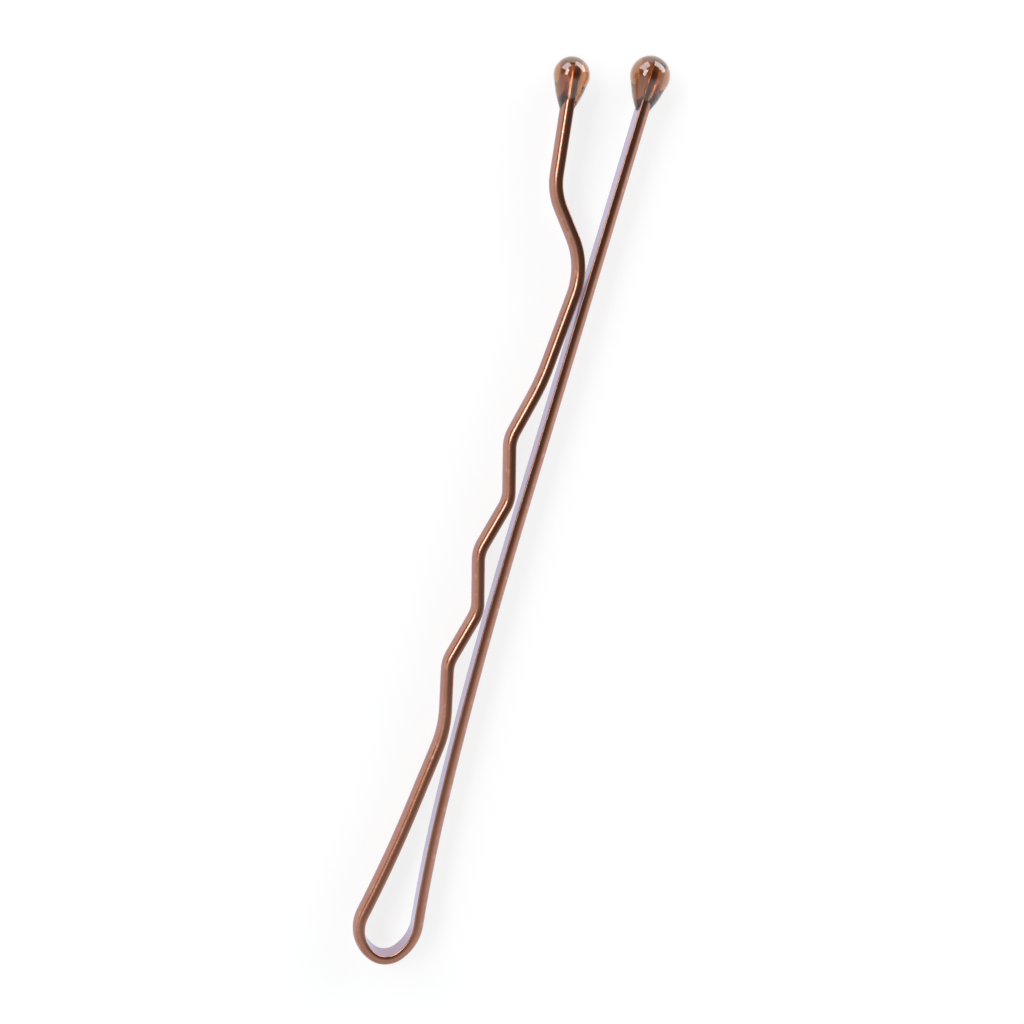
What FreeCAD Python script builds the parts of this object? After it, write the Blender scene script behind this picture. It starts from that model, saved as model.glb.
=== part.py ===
# Bobby pin: one bent flat wire with a cast drop on each end.
# Millimetres and degrees. The wire's middle plane is XY, the straight leg runs along +X, the crimped leg
# lies on its +Y side, and the outside of the bow's nose is at X 0.
import FreeCAD
import Part
import Sketcher
import math
import os

from FreeCAD import Placement, Rotation, Vector

FULL_TURN = 360

# The solver looks for the turn of the bow's crimped side between these angles
LEAST_SIDE_TURN = 30
MOST_SIDE_TURN = 150
SOLVER_STEPS = 80

# An inward bend is half-way between two outward ones; the easing bend is partway from the last to the nip
HALF_PITCH_SHARE = 0.5
EASE_SHARE = 0.34

# Driving lengths: name, value, meaning
LENGTHS = [
    ("pin_length", 60.0, "bow's nose to the end of the straight tip"),
    ("wire_thick", 0.66, "wire between its inner and outer flats"),
    ("wire_wide", 1.42, "wire across its rolled edges"),
    ("inner_corner_radius", 0.08, "wire's corners on the inside of the bow"),
    ("outer_corner_radius", 0.30, "wire's corners on the outside of the bow"),
    ("flex_place", 12.0, "bow's nose to the place where each leg flexes"),
    ("sweep_radius", 340.0, "straight leg's gentle outward sweep"),
    ("straight_root_radius", 112.0, "straight leg where it nears the bow"),
    ("straight_side_radius", 2.9, "bow's side next to the straight leg"),
    ("nose_radius", 1.4, "bow's nose"),
    ("crimped_side_radius", 2.35, "bow's side next to the crimped leg"),
    ("crimped_root_radius", 94.0, "crimped leg where it leaves the bow"),
    ("leg_gap", 0.03, "air between the legs' facing flats at the nip and first crimp"),
    ("first_crimp_place", 16.2, "nose to the first inward bend"),
    ("first_crimp_radius", 7.8, "first inward bend"),
    ("first_crimp_run", 4.26, "first inward bend to the first outward one, along the pin"),
    ("crimp_pitch", 7.36, "one outward bend to the next"),
    ("crimp_height", 0.98, "outward bends above the inward ones"),
    ("crimp_rise", 0.15, "climb of the crimps over one pitch"),
    ("crimp_radius", 2.2, "crimp bends"),
    ("ease_room", 8.0, "least run from the last outward bend to the nip"),
    ("ease_gap", 0.52, "air between the legs at the easing bend"),
    ("ease_radius", 15.0, "easing bend"),
    ("nip_setback", 13.3, "end of the straight tip back to the nip, where the legs grip"),
    ("nip_radius", 4.8, "nip bend"),
    ("flare_run", 3.77, "nip to the flare bend, along the pin"),
    ("flare_rise", 3.13, "nip to the flare bend, away from the straight leg"),
    ("flare_radius", 3.8, "flare bend"),
    ("tip_run", 7.53, "flare bend to the crimped wire's end, along the pin"),
    ("tip_rise", 1.065, "flare bend to the crimped wire's end, outwards"),
    ("tip_cover", 0.50, "resin past the wire's end"),
    ("straight_tip_radius", 1.225, "ball of the straight tip"),
    ("straight_tip_neck", 2.2, "ball's centre to the end of its neck"),
    ("straight_tip_offset", 0.15, "ball's centre inwards of the wire's middle"),
    ("crimped_tip_radius", 1.11, "ball of the crimped tip"),
    ("crimped_tip_neck", 2.15, "ball's centre to the end of its neck"),
    ("neck_skin", 0.06, "resin over the wire's flats at the end of the neck"),
    ("overrun", 2.0, "cutting boxes past what they cut"),
]

# Angles of the arcs, in order from the straight leg round the bow: name, value, meaning
ANGLES = [
    ("sweep_angle", 3.2, "straight leg's gentle outward sweep"),
    ("straight_root_angle", 4.3, "straight leg where it nears the bow"),
    ("straight_side_angle", 47.6, "bow's side next to the straight leg"),
    ("nose_angle", 72.4, "bow's nose"),
    ("crimped_root_angle", 4.7, "crimped leg where it leaves the bow"),
]

# Places that follow from the driving lengths: name, formula, meaning
FORMULAS = [
    ("straight_end", "=pin_length - tip_cover", "straight wire's end"),
    ("bare_end", "=pin_length - straight_tip_radius - straight_tip_neck", "end of its bare stretch"),
    ("nip_place", "=pin_length - nip_setback", "nip along the pin"),
    ("nose_centre", "=nose_radius + wire_thick / 2", "middle of the nose's bend"),
    ("inner_line", "=wire_thick + leg_gap", "crimped leg's middle at the nip and first crimp"),
    ("parting", "=(wire_thick + leg_gap) / 2", "line between the two legs"),
]

# Each bend of the crimped leg: its place along the pin, its distance from the straight leg, its radius
BENDS = [("first_crimp_place", "inner_line", "first_crimp_radius")]


def count_outward_crimps():
    """As many outward bends as the pin's length has room for."""
    length = {name: value for name, value, _ in LENGTHS}
    first = length["first_crimp_place"] + length["first_crimp_run"]
    last = length["pin_length"] - length["nip_setback"] - length["ease_room"]
    return 1 + int((last - first) // length["crimp_pitch"])


for step in range(2 * count_outward_crimps() - 1):
    pitches = step * HALF_PITCH_SHARE
    reach = f"first_crimp_place + first_crimp_run + crimp_pitch * {pitches}"
    climb = f"crimp_rise * {pitches + HALF_PITCH_SHARE}"
    lift = "crimp_height" if step % 2 == 0 else "0"
    FORMULAS += [
        (f"crimp_{step}_place", f"={reach}", "crimp bend along the pin"),
        (f"crimp_{step}_line", f"=inner_line + {climb} + {lift}", "crimp bend from the straight leg"),
    ]
    BENDS += [(f"crimp_{step}_place", f"crimp_{step}_line", "crimp_radius")]

last_crimp = BENDS[-1][0]
FORMULAS += [
    ("ease_place", f"={last_crimp} + (nip_place - {last_crimp}) * {EASE_SHARE}", "easing bend along the pin"),
    ("ease_line", "=wire_thick + ease_gap", "easing bend from the straight leg"),
    ("flare_place", "=nip_place + flare_run", "flare bend along the pin"),
    ("flare_line", "=inner_line + flare_rise", "flare bend from the straight leg"),
    ("crimped_end", "=flare_place + tip_run", "crimped wire's end along the pin"),
    ("crimped_end_line", "=flare_line + tip_rise", "crimped wire's end from the straight leg"),
]
BENDS += [
    ("ease_place", "ease_line", "ease_radius"),
    ("nip_place", "inner_line", "nip_radius"),
    ("flare_place", "flare_line", "flare_radius"),
]

doc = FreeCAD.newDocument("bobby_pin")
sheet = doc.addObject("Spreadsheet::Sheet", "sizes")

for row, (alias, value, meaning) in enumerate(LENGTHS + ANGLES + FORMULAS, start=1):
    sheet.set(f"A{row}", meaning)
    sheet.set(f"B{row}", str(value))
    sheet.setAlias(f"B{row}", alias)
doc.recompute()


def size(name):
    """The present value of a named size."""
    return float(sheet.get(name))


def direction(heading):
    """Unit vector at a heading in radians."""
    return Vector(math.cos(heading), math.sin(heading), 0)


def walk_arc(point, heading, radius, turn):
    """Follow an arc from a point; a positive turn is to the left. Gives centre, end point and end heading."""
    side = math.copysign(radius, turn)
    centre = point + direction(heading + math.pi / 2) * side
    return centre, centre - direction(heading + turn + math.pi / 2) * side, heading + turn


def bow_turns(crimped_side_turn):
    """The bow's arcs in order from the straight leg: name and signed turn in radians."""
    return [
        ("sweep", math.radians(size("sweep_angle"))),
        ("straight_root", math.radians(size("straight_root_angle"))),
        ("straight_side", -math.radians(size("straight_side_angle"))),
        ("nose", -math.radians(size("nose_angle"))),
        ("crimped_side", -crimped_side_turn),
        ("crimped_root", math.radians(size("crimped_root_angle"))),
    ]


def walk_bow(crimped_side_turn):
    """Centres and points of the bow's arcs, with the nose at its place, and the heading at the end."""
    point, heading = Vector(0, 0, 0), math.pi
    arcs = []
    for name, turn in bow_turns(crimped_side_turn):
        centre, end, next_heading = walk_arc(point, heading, size(f"{name}_radius"), turn)
        arcs.append([name, turn, centre, point, end])
        point, heading = end, next_heading
    nose = [arc for arc in arcs if arc[0] == "nose"][0]
    shift = Vector(size("nose_centre") - nose[2].x, 0, 0)
    moved = [(name, turn, centre + shift, a + shift, b + shift) for name, turn, centre, a, b in arcs]
    return moved, heading


def miss_first_crimp(crimped_side_turn):
    """How far to the left of the bow's end line the first crimp bend lies."""
    arcs, heading = walk_bow(crimped_side_turn)
    reach = Vector(size("first_crimp_place"), size("inner_line"), 0) - arcs[-1][4]
    along = direction(heading)
    return along.x * reach.y - along.y * reach.x


def solve_crimped_side():
    """The turn of the bow's crimped side that points the leg at its first crimp bend."""
    low, high = math.radians(LEAST_SIDE_TURN), math.radians(MOST_SIDE_TURN)
    for _ in range(SOLVER_STEPS):
        middle = (low + high) / 2
        if miss_first_crimp(middle) > 0:
            high = middle
        else:
            low = middle
    return (low + high) / 2


class PathSketch:
    """A chain of lines and tangent arcs in a sketch, with its sizes bound to the sheet."""

    def __init__(self, sketch):
        self.sketch = sketch
        self.last = None

    def constrain(self, *args):
        return self.sketch.addConstraint(Sketcher.Constraint(*args))

    def bind(self, expression, *args):
        number = self.constrain(*args)
        self.sketch.setExpression(f"Constraints[{number}]", expression)

    def chain(self, geo, start, end):
        """Join the element's start tangentially to the chain's open end."""
        self.constrain("Tangent", *self.last, geo, start)
        self.last = (geo, end)

    def start_line(self, start, end):
        """A line that the chain goes on from."""
        geo = self.sketch.addGeometry(Part.LineSegment(start, end))
        self.last = (geo, 2)
        return geo

    def line(self, start, end):
        geo = self.sketch.addGeometry(Part.LineSegment(start, end))
        self.chain(geo, 1, 2)
        return geo

    def arc(self, centre, start, end, turn, radius_name):
        first, second = (start, end) if turn > 0 else (end, start)
        angles = [math.atan2(p.y - centre.y, p.x - centre.x) for p in (first, second)]
        if angles[1] < angles[0]:
            angles[1] += 2 * math.pi
        circle = Part.Circle(centre, Vector(0, 0, 1), size(radius_name))
        geo = self.sketch.addGeometry(Part.ArcOfCircle(circle, *angles))
        self.chain(geo, *((1, 2) if turn > 0 else (2, 1)))
        self.bind(f"sizes.{radius_name}", "Radius", geo, size(radius_name))
        return geo

    def corner(self, place_name, line_name, *lines):
        """A construction point at a bend's sharp corner, which the two lines run through."""
        point = Vector(size(place_name), size(line_name), 0)
        geo = self.sketch.addGeometry(Part.Point(point), True)
        self.fix(geo, 1, place_name, line_name)
        for other in lines:
            self.constrain("PointOnObject", geo, 1, other)

    def fix(self, geo, end, place_name, line_name):
        self.bind(f"sizes.{place_name}", "DistanceX", -1, 1, geo, end, size(place_name))
        self.bind(f"sizes.{line_name}", "DistanceY", -1, 1, geo, end, size(line_name))


def bend_points(before, corner, after, radius):
    """Where an arc of the radius meets the two lines of a corner, its centre and its signed turn."""
    run_in, run_out = (corner - before).normalize(), (after - corner).normalize()
    turn = math.atan2(run_in.x * run_out.y - run_in.y * run_out.x, run_in.dot(run_out))
    reach = radius * math.tan(abs(turn) / 2)
    start, end = corner - run_in * reach, corner + run_out * reach
    centre, _, _ = walk_arc(start, math.atan2(run_in.y, run_in.x), radius, turn)
    return start, end, centre, turn


def origin_plane(body, role):
    """The body's own origin plane with that role."""
    return [f for f in body.Origin.OriginFeatures if f.Role == role][0]


def new_sketch(body, name, role):
    sketch = body.newObject("Sketcher::SketchObject", name)
    sketch.AttachmentSupport = [(origin_plane(body, role), "")]
    sketch.MapMode = "FlatFace"
    return sketch


def draw_straight_leg_and_bow(path):
    """The straight run, first in the tip and then bare, the sweep and the bow's arcs. Gives their end."""
    arcs, _ = walk_bow(solve_crimped_side())
    tip, neck = Vector(size("straight_end"), 0, 0), Vector(size("bare_end"), 0, 0)
    covered = path.start_line(tip, neck)
    bare = path.start_line(neck, arcs[0][3])
    path.bind("sizes.straight_end", "DistanceX", -1, 1, covered, 1, tip.x)
    path.bind("sizes.bare_end", "DistanceX", -1, 1, bare, 1, neck.x)
    path.constrain("Coincident", covered, 2, bare, 1)
    for run, end in ((covered, 1), (covered, 2), (bare, 2)):
        path.constrain("PointOnObject", run, end, -1)
    for name, turn, centre, start, end in arcs:
        geo = path.arc(centre, start, end, turn, f"{name}_radius")
        if name == "nose":
            path.bind("sizes.nose_centre", "DistanceX", -1, 1, geo, 3, centre.x)
        if name != "crimped_side":
            path.bind(f"sizes.{name}_angle", "Angle", geo, abs(turn))
    return arcs[-1][4]


def draw_crimped_leg(path, start):
    """The lower run, the crimps, the nip, the flare and the run to the crimped tip."""
    corners = [Vector(size(place), size(line), 0) for place, line, _ in BENDS]
    stops = [start] + corners + [Vector(size("crimped_end"), size("crimped_end_line"), 0)]
    run_start, run = start, None
    for number, (_, _, radius_name) in enumerate(BENDS):
        before, corner, after = stops[number:number + 3]
        bend_start, bend_end, centre, turn = bend_points(before, corner, after, size(radius_name))
        previous = run
        run = path.line(run_start, bend_start)
        if previous is not None:
            path.corner(*BENDS[number - 1][:2], previous, run)
        path.arc(centre, bend_start, bend_end, turn, radius_name)
        run_start = bend_end
    last = path.line(run_start, stops[-1])
    path.corner(*BENDS[-1][:2], run, last)
    path.fix(last, 2, "crimped_end", "crimped_end_line")


def draw_wire_section(sketch):
    """The rolled wire: an inner flat with tight corners and an outer flat with full ones."""
    half_thick, half_wide = size("wire_thick") / 2, size("wire_wide") / 2
    inner, outer = size("inner_corner_radius"), size("outer_corner_radius")
    corners = [
        (Vector(half_thick - inner, half_wide - inner, 0), inner, 0, "inner_corner_radius"),
        (Vector(outer - half_thick, half_wide - outer, 0), outer, 1, "outer_corner_radius"),
        (Vector(outer - half_thick, outer - half_wide, 0), outer, 2, "outer_corner_radius"),
        (Vector(half_thick - inner, inner - half_wide, 0), inner, 3, "inner_corner_radius"),
    ]
    arcs = []
    for centre, radius, quarter, radius_name in corners:
        circle = Part.Circle(centre, Vector(0, 0, 1), radius)
        start = quarter * math.pi / 2
        geo = sketch.addGeometry(Part.ArcOfCircle(circle, start, start + math.pi / 2))
        number = sketch.addConstraint(Sketcher.Constraint("Radius", geo, radius))
        sketch.setExpression(f"Constraints[{number}]", f"sizes.{radius_name}")
        arcs.append(geo)
    sides = []
    for arc, following in zip(arcs, arcs[1:] + arcs[:1]):
        ends = sketch.getPoint(arc, 2), sketch.getPoint(following, 1)
        geo = sketch.addGeometry(Part.LineSegment(*ends))
        sketch.addConstraint(Sketcher.Constraint("Tangent", arc, 2, geo, 1))
        sketch.addConstraint(Sketcher.Constraint("Tangent", geo, 2, following, 1))
        sides.append(geo)
    near_edge, outer_flat, far_edge, inner_flat = sides
    for side in (near_edge, far_edge):
        sketch.addConstraint(Sketcher.Constraint("Horizontal", side))
    for side in (outer_flat, inner_flat):
        sketch.addConstraint(Sketcher.Constraint("Vertical", side))
    places = [
        ("DistanceX", inner_flat, half_thick, "sizes.wire_thick / 2"),
        ("DistanceX", outer_flat, -half_thick, "-sizes.wire_thick / 2"),
        ("DistanceY", near_edge, half_wide, "sizes.wire_wide / 2"),
        ("DistanceY", far_edge, -half_wide, "-sizes.wire_wide / 2"),
    ]
    for kind, side, distance, expression in places:
        number = sketch.addConstraint(Sketcher.Constraint(kind, -1, 1, side, 1, distance))
        sketch.setExpression(f"Constraints[{number}]", expression)


def make_wire():
    """The whole wire: its section swept from the straight tip round the bow to the crimped tip."""
    body = doc.addObject("PartDesign::Body", "wire")
    path_sketch = new_sketch(body, "wire_path", "XY_Plane")
    path = PathSketch(path_sketch)
    lower_run_start = draw_straight_leg_and_bow(path)
    draw_crimped_leg(path, lower_run_start)
    section = new_sketch(body, "wire_section", "YZ_Plane")
    section.setExpression(".AttachmentOffset.Base.z", "sizes.straight_end")
    draw_wire_section(section)
    doc.recompute()
    sweep = body.newObject("PartDesign::AdditivePipe", "wire_sweep")
    sweep.Profile = section
    sweep.Refine = False
    sweep.Spine = (path_sketch, [f"Edge{n + 1}" for n in range(len(path_sketch.Shape.Edges))])
    doc.recompute()
    return body


def make_zone(name, expressions):
    """A box that takes one zone out of the wire; the expressions give its corner and sides."""
    box = doc.addObject("Part::Box", name)
    for target, expression in expressions.items():
        box.setExpression(target, expression)
    return box


def make_wire_zones(wire):
    """The wire divided where each leg flexes: the bow and the two legs."""
    deep = {
        "Placement.Base.z": "-sizes.wire_wide / 2 - sizes.overrun",
        "Height": "sizes.wire_wide + 2 * sizes.overrun",
    }
    beyond = {
        "Placement.Base.x": "sizes.flex_place",
        "Length": "sizes.pin_length - sizes.flex_place + sizes.overrun",
    }
    boxes = {
        "bow": {
            "Placement.Base.x": "-sizes.overrun",
            "Placement.Base.y": "-sizes.pin_length",
            "Length": "sizes.flex_place + sizes.overrun",
            "Width": "2 * sizes.pin_length",
        },
        "straight_leg": {
            **beyond,
            "Placement.Base.y": "sizes.parting - sizes.pin_length",
            "Width": "sizes.pin_length",
        },
        "crimped_leg": {
            **beyond,
            "Placement.Base.y": "sizes.parting",
            "Width": "sizes.pin_length",
        },
    }
    zones = []
    for name, expressions in boxes.items():
        zone = doc.addObject("Part::Common", name)
        zone.Refine = False
        zone.Base = wire
        zone.Tool = make_zone(f"{name}_zone", {**deep, **expressions})
        zones.append(zone)
    return zones


def draw_drop(sketch, name):
    """Half the outline of a tip: a ball that runs straight into a cone down to the wire."""
    radius, neck = size(f"{name}_radius"), size(f"{name}_neck")
    neck_radius = size("wire_thick") / 2 + size("neck_skin")
    far = math.hypot(neck, neck_radius)
    touch = math.pi - math.atan2(neck_radius, neck) - math.acos(radius / far)
    pole, neck_axis = Vector(radius, 0, 0), Vector(-neck, 0, 0)
    meeting, neck_rim = direction(touch) * radius, Vector(-neck, neck_radius, 0)
    axis = sketch.addGeometry(Part.LineSegment(neck_axis, pole))
    ball = sketch.addGeometry(Part.ArcOfCircle(Part.Circle(Vector(), Vector(0, 0, 1), radius), 0, touch))
    cone = sketch.addGeometry(Part.LineSegment(meeting, neck_rim))
    rim = sketch.addGeometry(Part.LineSegment(neck_rim, neck_axis))
    for constraint in (
        ("PointOnObject", axis, 1, -1),
        ("PointOnObject", axis, 2, -1),
        ("Coincident", ball, 3, -1, 1),
        ("Coincident", axis, 2, ball, 1),
        ("Tangent", ball, 2, cone, 1),
        ("Coincident", cone, 2, rim, 1),
        ("Coincident", rim, 2, axis, 1),
        ("Vertical", rim),
    ):
        sketch.addConstraint(Sketcher.Constraint(*constraint))
    for values, expression in (
        (("Radius", ball, radius), f"sizes.{name}_radius"),
        (("DistanceX", -1, 1, axis, 1, -neck), f"-sizes.{name}_neck"),
        (("DistanceY", rim, 2, rim, 1, neck_radius), "sizes.wire_thick / 2 + sizes.neck_skin"),
    ):
        number = sketch.addConstraint(Sketcher.Constraint(*values))
        sketch.setExpression(f"Constraints[{number}]", expression)


def make_tip(name, wire, placing):
    """A cast drop with the wire's end standing in it; the expressions place the ball's centre."""
    body = doc.addObject("PartDesign::Body", f"{name}_drop")
    outline = new_sketch(body, f"{name}_outline", "XY_Plane")
    draw_drop(outline, name)
    ball = body.newObject("PartDesign::Revolution", f"{name}_ball")
    ball.Profile = outline
    ball.ReferenceAxis = (outline, ["H_Axis"])
    ball.Angle = FULL_TURN
    for target, expression in placing.items():
        body.setExpression(target, expression)
    tip = doc.addObject("Part::Cut", name)
    tip.Base = body
    tip.Tool = wire
    return tip


def make_tips(wire):
    """The two tips: the straight one leaning in a little, the crimped one along its slanting run."""
    lean = "atan2(sizes.tip_rise; sizes.tip_run)"
    reach = "(sizes.tip_cover - sizes.crimped_tip_radius)"
    straight = {
        "Placement.Base.x": "sizes.pin_length - sizes.straight_tip_radius",
        "Placement.Base.y": "sizes.straight_tip_offset",
        "Placement.Rotation.Angle": "atan2(sizes.straight_tip_offset; sizes.straight_tip_neck)",
    }
    crimped = {
        "Placement.Base.x": f"sizes.crimped_end + {reach} * cos({lean})",
        "Placement.Base.y": f"sizes.crimped_end_line + {reach} * sin({lean})",
        "Placement.Rotation.Angle": lean,
    }
    return [make_tip("straight_tip", wire, straight), make_tip("crimped_tip", wire, crimped)]


def check(nodes):
    """Stop if anything failed or a piece isn't one sound solid."""
    for thing in doc.Objects:
        if {"Invalid", "Error"} & set(thing.State):
            raise RuntimeError(f"{thing.Name} failed: {thing.State}")
    for node in nodes:
        shape = node.Shape
        if shape.isNull() or not shape.isValid() or len(shape.Solids) != 1:
            raise RuntimeError(f"{node.Label} isn't one sound solid")


def place_on_origin(nodes):
    """Move the pin so that its lowest point is at Z 0 and its box is centred on the origin."""
    box = FreeCAD.BoundBox()
    for node in nodes:
        box.add(node.Shape.optimalBoundingBox(False, False))
    move = Vector(-box.Center.x, -box.Center.y, -box.ZMin)
    for node in nodes:
        node.Placement = Placement(move, Rotation())


def main():
    wire = make_wire()
    nodes = make_wire_zones(wire) + make_tips(wire)
    doc.recompute()
    check(nodes)
    place_on_origin(nodes)
    doc.recompute()
    check(nodes)
    os.makedirs("parts", exist_ok=True)
    for node in nodes:
        node.Shape.exportStep(f"parts/{node.Label}.step")


main()
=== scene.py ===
# Bobby pin: the lacquered wire with its two amber drops, on a pale floor in soft studio light.
# Metres and radians unless a name says degrees. The wire's plan is drawn from the nose of the bow, with x
# along the pin and y from the straight leg towards the crimped leg, and then moved to the frame's place.
import math

import bpy
from mathutils import Matrix, Vector


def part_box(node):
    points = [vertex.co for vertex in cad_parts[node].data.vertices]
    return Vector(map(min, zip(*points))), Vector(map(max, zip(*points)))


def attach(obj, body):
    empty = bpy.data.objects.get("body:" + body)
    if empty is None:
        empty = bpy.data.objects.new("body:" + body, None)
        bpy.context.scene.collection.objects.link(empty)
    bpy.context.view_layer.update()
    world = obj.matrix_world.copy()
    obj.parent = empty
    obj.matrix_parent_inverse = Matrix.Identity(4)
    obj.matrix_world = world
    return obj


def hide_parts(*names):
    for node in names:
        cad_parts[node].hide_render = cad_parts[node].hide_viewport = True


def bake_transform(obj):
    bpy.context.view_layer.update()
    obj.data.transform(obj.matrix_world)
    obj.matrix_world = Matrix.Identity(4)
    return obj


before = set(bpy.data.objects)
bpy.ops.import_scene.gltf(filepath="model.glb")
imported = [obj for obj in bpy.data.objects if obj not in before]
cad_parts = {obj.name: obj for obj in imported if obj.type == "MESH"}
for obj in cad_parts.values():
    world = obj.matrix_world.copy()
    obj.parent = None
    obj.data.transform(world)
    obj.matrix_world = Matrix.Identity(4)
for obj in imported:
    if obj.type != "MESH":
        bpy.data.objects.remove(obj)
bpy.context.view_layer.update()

# Wire section: the outer corners stand out a little past the wire's thickness
WIRE_THICK = 0.66e-3
WIRE_WIDE = 1.42e-3
INNER_CORNER_RADIUS = 0.08e-3
OUTER_CORNER_RADIUS = 0.40e-3
SHOULDER_STANDOUT = 0.02e-3
CORNER_STEPS = 12
SIDE_STEPS = 6

# How far the rolled sides turn at each end: the near edge, the outer face, the far edge and the inner flat
SIDE_CROWN_DEGREES = (12, 20, 12, 0)
# How squarely a face has to look inwards, from 0 to 1, to count as the inner flat
INSIDE_FACING = 0.9

# Wire path, in the same sizes as the solids
PIN_LENGTH = 60.0e-3
TIP_COVER = 0.50e-3
LEG_GAP = 0.03e-3
# The bow's arcs as (name, radius, turn in degrees), where the turn that is left open is worked out
BOW_ARCS = [
    ("sweep", 340.0e-3, 3.2),
    ("straight_root", 112.0e-3, 4.3),
    ("straight_side", 2.9e-3, -47.6),
    ("nose", 1.4e-3, -72.4),
    ("crimped_side", 2.35e-3, None),
    ("crimped_root", 94.0e-3, 4.7),
]
FIRST_CRIMP_PLACE = 16.2e-3
FIRST_CRIMP_RADIUS = 7.8e-3
FIRST_CRIMP_RUN = 4.26e-3
CRIMP_PITCH = 7.36e-3
CRIMP_HEIGHT = 0.98e-3
CRIMP_RISE = 0.15e-3
CRIMP_RADIUS = 2.2e-3
OUTWARD_CRIMPS = 3
EASE_SHARE = 0.34
EASE_GAP = 0.52e-3
EASE_RADIUS = 15.0e-3
NIP_PLACE = 46.7e-3
NIP_RADIUS = 4.8e-3
FLARE_RUN = 3.77e-3
FLARE_RISE = 3.13e-3
FLARE_RADIUS = 3.8e-3
TIP_RUN = 7.53e-3
TIP_RISE = 1.065e-3

# The open turn is found between these angles, by halving
SIDE_TURN_DEGREES = (30, 150)
SOLVER_STEPS = 60

# Rings along the wire are this far apart, or closer where it bends
RING_STEP = 0.20e-3
RING_TURN = math.radians(2.5)

# The last two faces of a swept half are its caps, on its first and last rings
FIRST_CAP, LAST_CAP = -2, -1
# The order of the wire's materials
LACQUER_SLOT, STEEL_SLOT, INSIDE_SLOT = range(3)

# Drops
STRAIGHT_DROP_RADIUS = 1.225e-3
STRAIGHT_DROP_NECK = 2.2e-3
STRAIGHT_DROP_OFFSET = 0.15e-3
CRIMPED_DROP_RADIUS = 1.11e-3
CRIMPED_DROP_NECK = 2.15e-3
NECK_SKIN = 0.06e-3
FLANK_BULGE = 0.055e-3
DROP_SIDES = 96
BALL_STEPS = 48
CONE_STEPS = 24

# Lacquer: (dark, light, tint of the edge) for the wire's outside and for its inner flat. The tints of the
# edge are painted: the outside's dark tint paints shade into its grazing reflections, and the inner flat's
# mauve colour and blue tint are a painted lavender reflection.
COPPER_WITH_PAINTED_EDGE_SHADE = ((0.42, 0.155, 0.085, 1), (0.50, 0.195, 0.110, 1), (0.35, 0.25, 0.40, 1))
MAUVE_PAINTED_REFLECTION = ((0.48, 0.34, 0.38, 1), (0.52, 0.38, 0.42, 1), (0.60, 0.60, 1.0, 1))
WORN_COLOUR = (0.80, 0.52, 0.40, 1)
LACQUER_COAT_IOR = 1.75
LACQUER_COAT_ROUGHNESS = 0.03
LACQUER_ROUGHNESS = (0.24, 0.34)
# Its marks: lines along the wire from drawing it, soft clouds of colour, and chips on the corners
DRAWN_LINES_PER_METRE = (250.0, 16000.0, 1.0)
DRAWN_LINE_DETAIL = 3.0
DRAWN_LINE_DEPTH = 1.0e-6
DRAWN_LINE_STRENGTH = 0.25
CLOUDS_PER_METRE = 420.0
CLOUD_DETAIL = 4.0
CLOUD_SPAN = (0.35, 0.70)
CHIPS_PER_METRE = 2600.0
CHIP_DETAIL = 5.0
CHIP_SPAN = (0.55, 0.75)
CHIP_SHARE = 0.5

# Cut steel
STEEL_COLOUR = (0.42, 0.38, 0.32, 1)
STEEL_ROUGHNESS = (0.30, 0.55)
CUTTER_MARKS_PER_METRE = 9000.0
CUTTER_WANDER = 4.0

# Resin: the colour of its surface, and the colour and strength of its depth
RESIN_COLOUR = (1.0, 0.96, 0.90, 1)
RESIN_DEPTH_COLOUR = (0.775, 0.45, 0.0, 1)
RESIN_DENSITY = 1500.0
RESIN_IOR = 1.52
RESIN_COAT_IOR = 1.6
RESIN_COAT_ROUGHNESS = 0.02
RESIN_ROUGHNESS = (0.0, 0.05)
HAZE_PER_METRE = 900.0
HAZE_DETAIL = 3.0
HAZE_DEPTH = 4.0e-6
HAZE_STRENGTH = 0.15

# Where a Mix node keeps its colour sockets, which share their names with its other sockets
MIX_FIRST, MIX_SECOND, MIX_RESULT = 6, 7, 2

# Studio: a floor, three soft boxes, and a pale surround that is brighter beyond the tips than behind the bow.
# Light is given as brightness, where 1 is white.
WHITE = (1, 1, 1, 1)
FLOOR_SIZE = 1.2
FLOOR_COLOUR = (0.28, 0.285, 0.29, 1)
FLOOR_GLOW = 0.76
BOW_SIDE_LIGHT = 0.55
TIP_SIDE_LIGHT = 1.45
# The surround's dark sides as (middle, degrees within which it is darkest, degrees at which it ends)
DARK_SHARE = 0.05
DARK_SIDES = [
    (Vector((0.50, 0.0, 0.87)), 36, 67),
    (Vector((0.45, 0.75, 0.48)), 32, 50),
]
# Soft boxes as (name, direction from the pin, width, height, brightness)
SOFT_BOX_DISTANCE = 0.80
SOFT_BOXES = [
    ("left_soft_box", Vector((0.15, 0.70, 0.70)), 0.50, 0.26, 6.0),
    ("far_right_soft_box", Vector((0.86, -0.46, 0.26)), 0.85, 0.44, 4.0),
    ("far_left_soft_box", Vector((0.65, 0.73, 0.30)), 0.65, 0.50, 4.0),
]

# Camera: where it stands, what it looks at, and its roll from the pin's own direction
CAMERA_PLACE = Vector((16.947e-3, 23.921e-3, 113.238e-3))
CAMERA_AIM = Vector((0.781e-3, -1.577e-3, 1.220e-3))
CAMERA_ROLL_DEGREES = -16.777
CAMERA_LENS = 65.04
CAMERA_SENSOR = 36.0
CAMERA_NEAR = 5.0e-3


def heading_vector(heading):
    """The unit vector that points along a heading."""
    return Vector((math.cos(heading), math.sin(heading)))


def walk(point, heading, length, curvature):
    """The point and heading after a stretch of constant curvature; a positive curvature turns left."""
    if curvature == 0:
        return point + heading_vector(heading) * length, heading
    end = heading + length * curvature
    chord = Vector((math.sin(end) - math.sin(heading), math.cos(heading) - math.cos(end)))
    return point + chord / curvature, end


def nose_number():
    """Where the nose comes among the bow's arcs."""
    return [name for name, _, _ in BOW_ARCS].index("nose")


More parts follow.
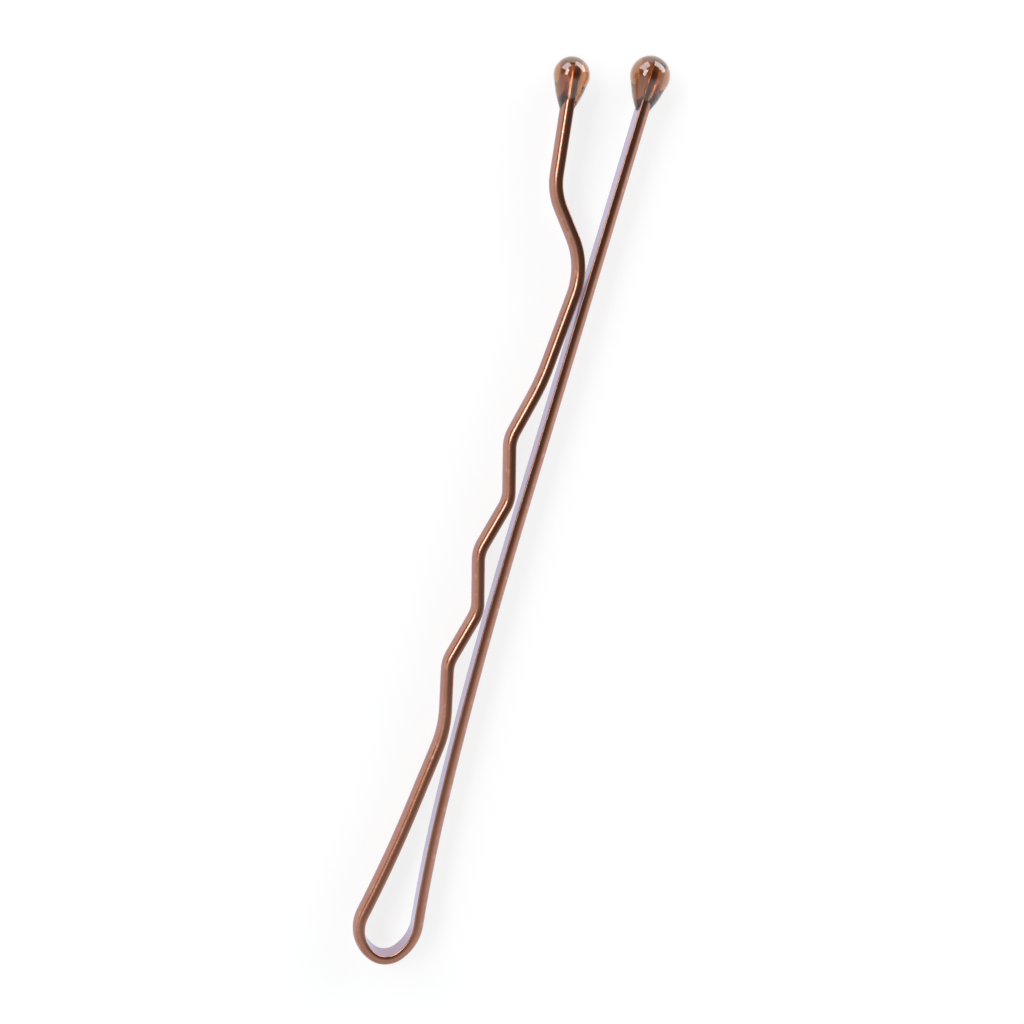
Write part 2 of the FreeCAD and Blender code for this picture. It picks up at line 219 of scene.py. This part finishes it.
def bow_stretches(side_turn):
    """The bow's arcs as (length, curvature), with the crimped side's turn filled in."""
    stretches = []
    for _, radius, degrees in BOW_ARCS:
        turn = -side_turn if degrees is None else math.radians(degrees)
        stretches.append((radius * abs(turn), math.copysign(1 / radius, turn)))
    return stretches


def bow_from(side_turn):
    """Where the sweep starts along the pin, and the point and heading where the crimped leg starts."""
    nose = nose_number()
    nose_radius = BOW_ARCS[nose][1]
    point, heading = Vector((0, 0)), math.pi
    for number, (length, curvature) in enumerate(bow_stretches(side_turn)):
        if number == nose:
            middle = point + heading_vector(heading - math.pi / 2) * nose_radius
        point, heading = walk(point, heading, length, curvature)
    start = nose_radius + WIRE_THICK / 2 - middle.x
    return start, point + Vector((start, 0)), heading


def crimped_corners():
    """The sharp corners of the crimped leg with each bend's radius, and the wire's end."""
    inner_line = WIRE_THICK + LEG_GAP
    corners = [(Vector((FIRST_CRIMP_PLACE, inner_line)), FIRST_CRIMP_RADIUS)]
    for step in range(2 * OUTWARD_CRIMPS - 1):
        place = FIRST_CRIMP_PLACE + FIRST_CRIMP_RUN + CRIMP_PITCH * step / 2
        lift = CRIMP_HEIGHT if step % 2 == 0 else 0
        corners.append((Vector((place, inner_line + CRIMP_RISE * (step + 1) / 2 + lift)), CRIMP_RADIUS))
    last_crimp = corners[-1][0].x
    ease_place = last_crimp + (NIP_PLACE - last_crimp) * EASE_SHARE
    corners.append((Vector((ease_place, WIRE_THICK + EASE_GAP)), EASE_RADIUS))
    corners.append((Vector((NIP_PLACE, inner_line)), NIP_RADIUS))
    flare = Vector((NIP_PLACE + FLARE_RUN, inner_line + FLARE_RISE))
    corners.append((flare, FLARE_RADIUS))
    return corners, flare + Vector((TIP_RUN, TIP_RISE))


def solve_side_turn():
    """The crimped side's turn that points the crimped leg at its first bend."""
    corners, _ = crimped_corners()
    target, _ = corners[0]
    low, high = (math.radians(degrees) for degrees in SIDE_TURN_DEGREES)
    for _ in range(SOLVER_STEPS):
        middle = (low + high) / 2
        _, point, heading = bow_from(middle)
        along = heading_vector(heading)
        reach = target - point
        if along.x * reach.y - along.y * reach.x > 0:
            high = middle
        else:
            low = middle
    return low


def crimped_stretches(start):
    """The crimped leg from the bow to its end: straight runs and bends, as (length, curvature)."""
    corners, end = crimped_corners()
    stops = [start] + [corner for corner, _ in corners] + [end]
    stretches = []
    used = 0
    for number, (corner, radius) in enumerate(corners):
        run_in, run_out = corner - stops[number], stops[number + 2] - corner
        turn = -run_in.angle_signed(run_out)
        reach = radius * math.tan(abs(turn) / 2)
        stretches.append((run_in.length - used - reach, 0))
        stretches.append((radius * abs(turn), math.copysign(1 / radius, turn)))
        used = reach
    stretches.append(((end - stops[-2]).length - used, 0))
    return stretches


def rings_along(point, heading, distance, stretches):
    """Rings as (point, heading, distance along the wire), close together where the wire bends."""
    rings = [(point, heading, distance)]
    for length, curvature in stretches:
        step = min(RING_STEP, RING_TURN / abs(curvature)) if curvature else RING_STEP
        count = max(1, math.ceil(length / step))
        for number in range(1, count + 1):
            part = length * number / count
            rings.append((*walk(point, heading, part, curvature), distance + part))
        point, heading = walk(point, heading, length, curvature)
        distance += length
    return rings


def wire_halves():
    """The rings of the two halves of the wire, which meet in the middle of the nose."""
    side_turn = solve_side_turn()
    sweep_start, leg_start, _ = bow_from(side_turn)
    straight_end = PIN_LENGTH - TIP_COVER
    bow = bow_stretches(side_turn)
    nose = nose_number()
    half_nose = (bow[nose][0] / 2, bow[nose][1])
    first = [(straight_end - sweep_start, 0)] + bow[:nose] + [half_nose]
    second = [half_nose] + bow[nose + 1:] + crimped_stretches(leg_start)
    straight_half = rings_along(Vector((straight_end, 0)), math.pi, 0, first)
    crimped_half = rings_along(*straight_half[-1], second)
    return straight_half, crimped_half


def section_outline():
    """Points round the wire's section: (inwards, across), the normal, and how far in a corner, 0 to 1."""
    half_thick, half_wide = WIRE_THICK / 2, WIRE_WIDE / 2
    shoulder = OUTER_CORNER_RADIUS - SHOULDER_STANDOUT - half_thick
    corners = [
        (Vector((half_thick - INNER_CORNER_RADIUS, half_wide - INNER_CORNER_RADIUS)), INNER_CORNER_RADIUS),
        (Vector((shoulder, half_wide - OUTER_CORNER_RADIUS)), OUTER_CORNER_RADIUS),
        (Vector((shoulder, OUTER_CORNER_RADIUS - half_wide)), OUTER_CORNER_RADIUS),
        (Vector((half_thick - INNER_CORNER_RADIUS, INNER_CORNER_RADIUS - half_wide)), INNER_CORNER_RADIUS),
    ]
    crowns = [math.radians(degrees) for degrees in SIDE_CROWN_DEGREES]
    rounded = []
    for quarter, (centre, radius) in enumerate(corners):
        first = quarter * math.pi / 2 + crowns[quarter - 1]
        last = (quarter + 1) * math.pi / 2 - crowns[quarter]
        arc = []
        for step in range(CORNER_STEPS + 1):
            share = step / CORNER_STEPS
            normal = heading_vector(first + (last - first) * share)
            arc.append((centre + normal * radius, normal, math.sin(share * math.pi)))
        rounded.append(arc)
    outline = []
    for quarter, arc in enumerate(rounded):
        outline += arc + crowned_side(arc[-1], rounded[(quarter + 1) % len(rounded)][0], crowns[quarter])
    return outline


def crowned_side(start, end, crown):
    """Points of the section between two corners, on a side that is slightly round."""
    along = end[0] - start[0]
    outwards = Vector((along.y, -along.x))
    heading = math.atan2(outwards.y, outwards.x)
    points = []
    for step in range(1, SIDE_STEPS):
        share = step / SIDE_STEPS
        place = start[0] + along * share + outwards * math.tan(crown) * share * (1 - share)
        points.append((place, heading_vector(heading + crown * (2 * share - 1)), 0))
    return points


def new_object(name, vertices, faces):
    """A new mesh object in the scene, with smooth shading."""
    mesh = bpy.data.meshes.new(name)
    mesh.from_pydata(vertices, [], faces)
    mesh.validate()
    mesh.shade_smooth()
    obj = bpy.data.objects.new(name, mesh)
    bpy.context.scene.collection.objects.link(obj)
    return obj


def frame_place():
    """What moves a point of the wire's plan to its place in the frame."""
    bow_low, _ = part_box("bow")
    leg_low, leg_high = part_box("straight_leg")
    return Vector((bow_low.x, leg_high.y - WIRE_THICK / 2, (leg_low.z + leg_high.z) / 2))


def make_wire_half(name, rings, leg, tip_cap):
    """A swept half of the wire, between its tip and the middle of the nose."""
    outline = section_outline()
    count = len(outline)
    origin = frame_place()
    vertices, normals = [], []
    for point, heading, _ in rings:
        inwards = heading_vector(heading - math.pi / 2)
        for place, normal, _ in outline:
            plan = point + inwards * place.x
            vertices.append(origin + Vector((plan.x, plan.y, place.y)))
            normals.append(Vector((inwards.x * normal.x, inwards.y * normal.x, normal.y)))
    faces = []
    for ring in range(len(rings) - 1):
        for number in range(count):
            a, b = ring * count + number, ring * count + (number + 1) % count
            faces.append((a, a + count, b + count, b))
    last = (len(rings) - 1) * count
    faces.append(tuple(range(count)))
    faces.append(tuple(range(last + count - 1, last - 1, -1)))
    obj = new_object(name, vertices, faces)
    finish_wire(obj.data, outline, tip_cap)
    add_wire_maps(obj.data, rings, outline)
    shade_wire(obj.data, normals)
    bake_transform(obj)
    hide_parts("bow", leg)


def finish_wire(mesh, outline, tip_cap):
    """Lacquer all over, a mauve lacquer on the inner flat that paints in its lavender reflection, and bare
    steel on the cut end.
    """
    for material in (lacquer, cut_steel, inside_painted_reflection_lacquer):
        mesh.materials.append(material)
    mesh.polygons[tip_cap].material_index = STEEL_SLOT
    for face in mesh.polygons[:FIRST_CAP]:
        normals = [outline[number % len(outline)][1] for number in face.vertices]
        inside = all(normal.x > INSIDE_FACING for normal in normals)
        face.material_index = INSIDE_SLOT if inside else LACQUER_SLOT


def add_wire_maps(mesh, rings, outline):
    """Lengths along and round the wire as its UV map, and its corners as an attribute."""
    count = len(outline)
    around = [0]
    for number in range(count):
        here, following = outline[number], outline[(number + 1) % count]
        around.append(around[-1] + (following[0] - here[0]).length)
    corner = mesh.attributes.new("corner", "FLOAT", "POINT")
    corner.data.foreach_set("value", [share for _ in rings for _, _, share in outline])
    layer = mesh.uv_layers.new(name="along")
    for face in mesh.polygons:
        numbers = [mesh.loops[loop].vertex_index % count for loop in face.loop_indices]
        wraps = len(numbers) == 4 and max(numbers) - min(numbers) > 1
        for loop, number in zip(face.loop_indices, numbers):
            ring = mesh.loops[loop].vertex_index // count
            turn = count if wraps and number == 0 else number
            layer.data[loop].uv = (rings[ring][2], around[turn])


def shade_wire(mesh, normals):
    """The section's own normals along the wire, and flat shading on its caps."""
    caps = {face.index: face.normal.copy() for face in mesh.polygons[FIRST_CAP:]}
    mesh.normals_split_custom_set([
        caps.get(face.index) or normals[mesh.loops[loop].vertex_index]
        for face in mesh.polygons for loop in face.loop_indices
    ])


def drop_profile(radius, neck):
    """A drop's outline from its end to its neck, as (along, outwards)."""
    neck_radius = WIRE_THICK / 2 + NECK_SKIN
    far = math.hypot(neck, neck_radius)
    touch = math.pi - math.atan2(neck_radius, neck) - math.acos(radius / far)
    points = []
    for step in range(BALL_STEPS + 1):
        angle = touch * step / BALL_STEPS
        points.append((radius * math.cos(angle), radius * math.sin(angle)))
    along, outwards = points[-1]
    for step in range(1, CONE_STEPS + 1):
        share = step / CONE_STEPS
        bulge = FLANK_BULGE * math.sin(math.pi * share) ** 2
        points.append((along + (-neck - along) * share, outwards + (neck_radius - outwards) * share + bulge))
    return points


def make_drop(name, node, body, radius, neck, centre, lean):
    """A cast drop: a ball that runs into a slim neck on the wire."""
    profile = drop_profile(radius, neck)
    turn = Matrix.Translation(centre) @ Matrix.Rotation(lean, 4, "Z")
    vertices = [turn @ Vector((profile[0][0], 0, 0))]
    for along, outwards in profile[1:]:
        for side in range(DROP_SIDES):
            angle = 2 * math.pi * side / DROP_SIDES
            vertices.append(turn @ Vector((along, outwards * math.cos(angle), outwards * math.sin(angle))))
    faces = [(0, 1 + side, 1 + (side + 1) % DROP_SIDES) for side in range(DROP_SIDES)]
    for ring in range(len(profile) - 2):
        first = 1 + ring * DROP_SIDES
        for side in range(DROP_SIDES):
            a, b = first + side, first + (side + 1) % DROP_SIDES
            faces.append((a, a + DROP_SIDES, b + DROP_SIDES, b))
    last = 1 + (len(profile) - 2) * DROP_SIDES
    faces.append(tuple(range(last + DROP_SIDES - 1, last - 1, -1)))
    obj = new_object(name, vertices, faces)
    obj.data.polygons[-1].use_smooth = False
    obj.data.materials.append(resin)
    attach(obj, body)
    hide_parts(node)


def make_drops():
    """The two drops, each on the end of its leg."""
    origin = frame_place()
    straight_centre = origin + Vector((PIN_LENGTH - STRAIGHT_DROP_RADIUS, STRAIGHT_DROP_OFFSET, 0))
    straight_lean = math.atan2(STRAIGHT_DROP_OFFSET, STRAIGHT_DROP_NECK)
    make_drop("straight_drop", "straight_tip", "straight_leg", STRAIGHT_DROP_RADIUS, STRAIGHT_DROP_NECK,
              straight_centre, straight_lean)
    _, end = crimped_corners()
    crimped_lean = math.atan2(TIP_RISE, TIP_RUN)
    place = end + heading_vector(crimped_lean) * (TIP_COVER - CRIMPED_DROP_RADIUS)
    crimped_centre = origin + Vector((place.x, place.y, 0))
    make_drop("crimped_drop", "crimped_tip", "crimped_leg", CRIMPED_DROP_RADIUS, CRIMPED_DROP_NECK,
              crimped_centre, crimped_lean)


class Nodes:
    """A short way to add nodes and links to a node tree."""

    def __init__(self, tree):
        self.tree = tree
        tree.nodes.clear()

    def add(self, kind, inputs=None, **settings):
        """A new node with these settings, and these values on its own input sockets."""
        node = self.tree.nodes.new(kind)
        for name, value in settings.items():
            setattr(node, name, value)
        for name, value in (inputs or {}).items():
            node.inputs[name].default_value = value
        return node

    def link(self, output, target):
        self.tree.links.new(output, target)


def new_material(name):
    """A new material, and the means to fill its empty node tree."""
    material = bpy.data.materials.new(name)
    material.use_nodes = True
    return material, Nodes(material.node_tree)


def new_shader(nodes, inputs):
    """A main shader with these values, and the material's output."""
    shader = nodes.add("ShaderNodeBsdfPrincipled", inputs)
    output = nodes.add("ShaderNodeOutputMaterial")
    nodes.link(shader.outputs["BSDF"], output.inputs["Surface"])
    return shader, output


def add_roughness(nodes, shader, pattern, span):
    """Roughness that follows a pattern between two values."""
    low, high = span
    rough = nodes.add("ShaderNodeMapRange", {"To Min": low, "To Max": high})
    nodes.link(pattern, rough.inputs["Value"])
    nodes.link(rough.outputs["Result"], shader.inputs["Roughness"])


def add_bump(nodes, shader, pattern, strength, depth):
    """Fine relief that follows a pattern."""
    bump = nodes.add("ShaderNodeBump", {"Strength": strength, "Distance": depth})
    nodes.link(pattern, bump.inputs["Height"])
    nodes.link(bump.outputs["Normal"], shader.inputs["Normal"])


def make_lacquer(name, dark, light, painted_edge_tint):
    """Lacquer over rolled steel: a clear coat, fine drawn lines and slightly thin corners, with a tint of the
    edge that paints colour into its grazing reflections.
    """
    material, nodes = new_material(name)
    shader, _ = new_shader(nodes, {
        "Metallic": 1.0,
        "Coat Weight": 1.0,
        "Coat Roughness": LACQUER_COAT_ROUGHNESS,
        "Coat IOR": LACQUER_COAT_IOR,
        "Specular Tint": painted_edge_tint,
    })

    along = nodes.add("ShaderNodeUVMap", uv_map="along")
    stretch = nodes.add("ShaderNodeMapping", {"Scale": DRAWN_LINES_PER_METRE})
    nodes.link(along.outputs["UV"], stretch.inputs["Vector"])
    lines = nodes.add("ShaderNodeTexNoise", {"Scale": 1.0, "Detail": DRAWN_LINE_DETAIL})
    nodes.link(stretch.outputs["Vector"], lines.inputs["Vector"])

    place = nodes.add("ShaderNodeTexCoord")
    clouds = nodes.add("ShaderNodeTexNoise", {"Scale": CLOUDS_PER_METRE, "Detail": CLOUD_DETAIL})
    nodes.link(place.outputs["Object"], clouds.inputs["Vector"])
    tint = nodes.add("ShaderNodeValToRGB")
    for element, position, colour in zip(tint.color_ramp.elements, CLOUD_SPAN, (dark, light)):
        element.position = position
        element.color = colour
    nodes.link(clouds.outputs["Fac"], tint.inputs["Fac"])

    corner = nodes.add("ShaderNodeAttribute", attribute_name="corner")
    chips = nodes.add("ShaderNodeTexNoise", {"Scale": CHIPS_PER_METRE, "Detail": CHIP_DETAIL})
    nodes.link(place.outputs["Object"], chips.inputs["Vector"])
    low, high = CHIP_SPAN
    thin = nodes.add("ShaderNodeMapRange", {"From Min": low, "From Max": high, "To Max": CHIP_SHARE})
    nodes.link(chips.outputs["Fac"], thin.inputs["Value"])
    worn = nodes.add("ShaderNodeMath", operation="MULTIPLY")
    nodes.link(thin.outputs["Result"], worn.inputs[0])
    nodes.link(corner.outputs["Fac"], worn.inputs[1])
    mixed = nodes.add("ShaderNodeMix", data_type="RGBA")
    nodes.link(worn.outputs["Value"], mixed.inputs["Factor"])
    nodes.link(tint.outputs["Color"], mixed.inputs[MIX_FIRST])
    mixed.inputs[MIX_SECOND].default_value = WORN_COLOUR
    nodes.link(mixed.outputs[MIX_RESULT], shader.inputs["Base Color"])

    add_roughness(nodes, shader, lines.outputs["Fac"], LACQUER_ROUGHNESS)
    add_bump(nodes, shader, lines.outputs["Fac"], DRAWN_LINE_STRENGTH, DRAWN_LINE_DEPTH)
    return material


def make_cut_steel():
    """Bare steel where the wire was cut off, with the marks of the cutter."""
    material, nodes = new_material("cut_steel")
    shader, _ = new_shader(nodes, {"Metallic": 1.0, "Base Color": STEEL_COLOUR})
    place = nodes.add("ShaderNodeTexCoord")
    marks = nodes.add("ShaderNodeTexWave", {
        "Scale": CUTTER_MARKS_PER_METRE,
        "Distortion": CUTTER_WANDER,
    }, bands_direction="Z")
    nodes.link(place.outputs["Object"], marks.inputs["Vector"])
    add_roughness(nodes, shader, marks.outputs["Fac"], STEEL_ROUGHNESS)
    return material


def make_resin():
    """Clear amber resin, deeper in colour where it is thick."""
    material, nodes = new_material("amber_resin")
    shader, output = new_shader(nodes, {
        "Transmission Weight": 1.0,
        "IOR": RESIN_IOR,
        "Coat Weight": 1.0,
        "Coat Roughness": RESIN_COAT_ROUGHNESS,
        "Coat IOR": RESIN_COAT_IOR,
        "Base Color": RESIN_COLOUR,
    })
    depth = nodes.add("ShaderNodeVolumeAbsorption", {"Color": RESIN_DEPTH_COLOUR, "Density": RESIN_DENSITY})
    nodes.link(depth.outputs["Volume"], output.inputs["Volume"])

    place = nodes.add("ShaderNodeTexCoord")
    haze = nodes.add("ShaderNodeTexNoise", {"Scale": HAZE_PER_METRE, "Detail": HAZE_DETAIL})
    nodes.link(place.outputs["Object"], haze.inputs["Vector"])
    add_roughness(nodes, shader, haze.outputs["Fac"], RESIN_ROUGHNESS)
    add_bump(nodes, shader, haze.outputs["Fac"], HAZE_STRENGTH, HAZE_DEPTH)
    return material


def seen_rays(nodes):
    """1 for the rays that see the background: from the camera, in reflections and through clear things."""
    path = nodes.add("ShaderNodeLightPath")
    first = nodes.add("ShaderNodeMath", operation="MAXIMUM")
    nodes.link(path.outputs["Is Camera Ray"], first.inputs[0])
    nodes.link(path.outputs["Is Glossy Ray"], first.inputs[1])
    second = nodes.add("ShaderNodeMath", operation="MAXIMUM")
    nodes.link(first.outputs["Value"], second.inputs[0])
    nodes.link(path.outputs["Is Transmission Ray"], second.inputs[1])
    return second.outputs["Value"]


def make_floor():
    """A pale matt floor that keeps the pin's shadow, with a glow for the rays that see it as background."""
    half = FLOOR_SIZE / 2
    vertices = [(-half, -half, 0), (half, -half, 0), (half, half, 0), (-half, half, 0)]
    floor = new_object("floor", vertices, [(0, 1, 2, 3)])
    material, nodes = new_material("pale_floor")
    matt = nodes.add("ShaderNodeBsdfDiffuse", {"Color": FLOOR_COLOUR})
    glow = nodes.add("ShaderNodeEmission")
    total = nodes.add("ShaderNodeAddShader")
    level = nodes.add("ShaderNodeMath", {1: FLOOR_GLOW}, operation="MULTIPLY")
    nodes.link(seen_rays(nodes), level.inputs[0])
    nodes.link(level.outputs["Value"], glow.inputs["Strength"])
    nodes.link(matt.outputs["BSDF"], total.inputs[0])
    nodes.link(glow.outputs["Emission"], total.inputs[1])
    output = nodes.add("ShaderNodeOutputMaterial")
    nodes.link(total.outputs["Shader"], output.inputs["Surface"])
    floor.data.materials.append(material)


def dark_side(nodes, direction, middle, inner, outer):
    """1 in the pale surround, falling to the dark share within the inner angle from a dark side's middle."""
    facing = nodes.add("ShaderNodeVectorMath", {1: middle.normalized()}, operation="DOT_PRODUCT")
    nodes.link(direction, facing.inputs[0])
    shade = nodes.add("ShaderNodeMapRange", {
        "From Min": math.cos(math.radians(outer)),
        "From Max": math.cos(math.radians(inner)),
        "To Min": 1.0,
        "To Max": DARK_SHARE,
    }, interpolation_type="SMOOTHSTEP")
    nodes.link(facing.outputs["Value"], shade.inputs["Value"])
    return shade.outputs["Result"]


def make_surround():
    """A pale surround, dimmer behind the bow and on its dark sides, and white where the camera sees it."""
    world = bpy.data.worlds.new("studio")
    world.use_nodes = True
    nodes = Nodes(world.node_tree)
    direction = nodes.add("ShaderNodeTexCoord").outputs["Generated"]
    first, second = (dark_side(nodes, direction, *side) for side in DARK_SIDES)
    darker = nodes.add("ShaderNodeMath", operation="MINIMUM")
    nodes.link(first, darker.inputs[0])
    nodes.link(second, darker.inputs[1])
    along = nodes.add("ShaderNodeSeparateXYZ")
    nodes.link(direction, along.inputs["Vector"])
    pale = nodes.add("ShaderNodeMapRange", {
        "From Min": -1.0,
        "From Max": 1.0,
        "To Min": BOW_SIDE_LIGHT,
        "To Max": TIP_SIDE_LIGHT,
    })
    nodes.link(along.outputs["X"], pale.inputs["Value"])
    light = nodes.add("ShaderNodeMath", operation="MULTIPLY")
    nodes.link(darker.outputs["Value"], light.inputs[0])
    nodes.link(pale.outputs["Result"], light.inputs[1])
    path = nodes.add("ShaderNodeLightPath")
    level = nodes.add("ShaderNodeMapRange", {"To Max": 1.0})
    nodes.link(path.outputs["Is Camera Ray"], level.inputs["Value"])
    nodes.link(light.outputs["Value"], level.inputs["To Min"])
    background = nodes.add("ShaderNodeBackground", {"Color": WHITE})
    nodes.link(level.outputs["Result"], background.inputs["Strength"])
    output = nodes.add("ShaderNodeOutputWorld")
    nodes.link(background.outputs["Background"], output.inputs["Surface"])
    bpy.context.scene.world = world


def make_soft_box(name, direction, width, height, brightness):
    """A soft box that faces the pin, with its width level."""
    lamp = bpy.data.lights.new(name, "AREA")
    lamp.shape = "RECTANGLE"
    lamp.size = width
    lamp.size_y = height
    lamp.energy = brightness * math.pi * width * height
    obj = bpy.data.objects.new(name, lamp)
    bpy.context.scene.collection.objects.link(obj)
    away = direction.normalized()
    along = away.cross(Vector((0, 0, 1))).normalized()
    turn = Matrix((along, away.cross(along), away)).transposed().to_4x4()
    obj.matrix_world = Matrix.Translation(away * SOFT_BOX_DISTANCE) @ turn


def make_camera():
    """The camera that was fitted to the photograph, close above the pin."""
    camera = bpy.data.cameras.new("camera")
    camera.lens = CAMERA_LENS
    camera.sensor_width = CAMERA_SENSOR
    camera.clip_start = CAMERA_NEAR
    obj = bpy.data.objects.new("camera", camera)
    bpy.context.scene.collection.objects.link(obj)
    back = (CAMERA_PLACE - CAMERA_AIM).normalized()
    up = (Vector((1, 0, 0)) - back * back.x).normalized()
    up.rotate(Matrix.Rotation(math.radians(CAMERA_ROLL_DEGREES), 3, -back))
    right = up.cross(back)
    turn = Matrix((right, up, back)).transposed().to_4x4()
    obj.matrix_world = Matrix.Translation(CAMERA_PLACE) @ turn
    bpy.context.scene.camera = obj


# The copper lacquer's tint of the edge is painted shade: it darkens the wire's grazing reflections.
lacquer = make_lacquer("copper_lacquer", *COPPER_WITH_PAINTED_EDGE_SHADE)
# The mauve lacquer on the inner flat is a painted reflection: its colour and blue edge tint stand in for the
# lavender that the flat reflects.
inside_painted_reflection_lacquer = make_lacquer("mauve_painted_reflection_lacquer", *MAUVE_PAINTED_REFLECTION)
cut_steel = make_cut_steel()
resin = make_resin()
straight_rings, crimped_rings = wire_halves()
make_wire_half("straight_wire", straight_rings, "straight_leg", FIRST_CAP)
make_wire_half("crimped_wire", crimped_rings, "crimped_leg", LAST_CAP)
make_drops()
make_floor()
make_surround()
for soft_box in SOFT_BOXES:
    make_soft_box(*soft_box)
make_camera()

bpy.context.scene.view_settings.view_transform = "Standard"
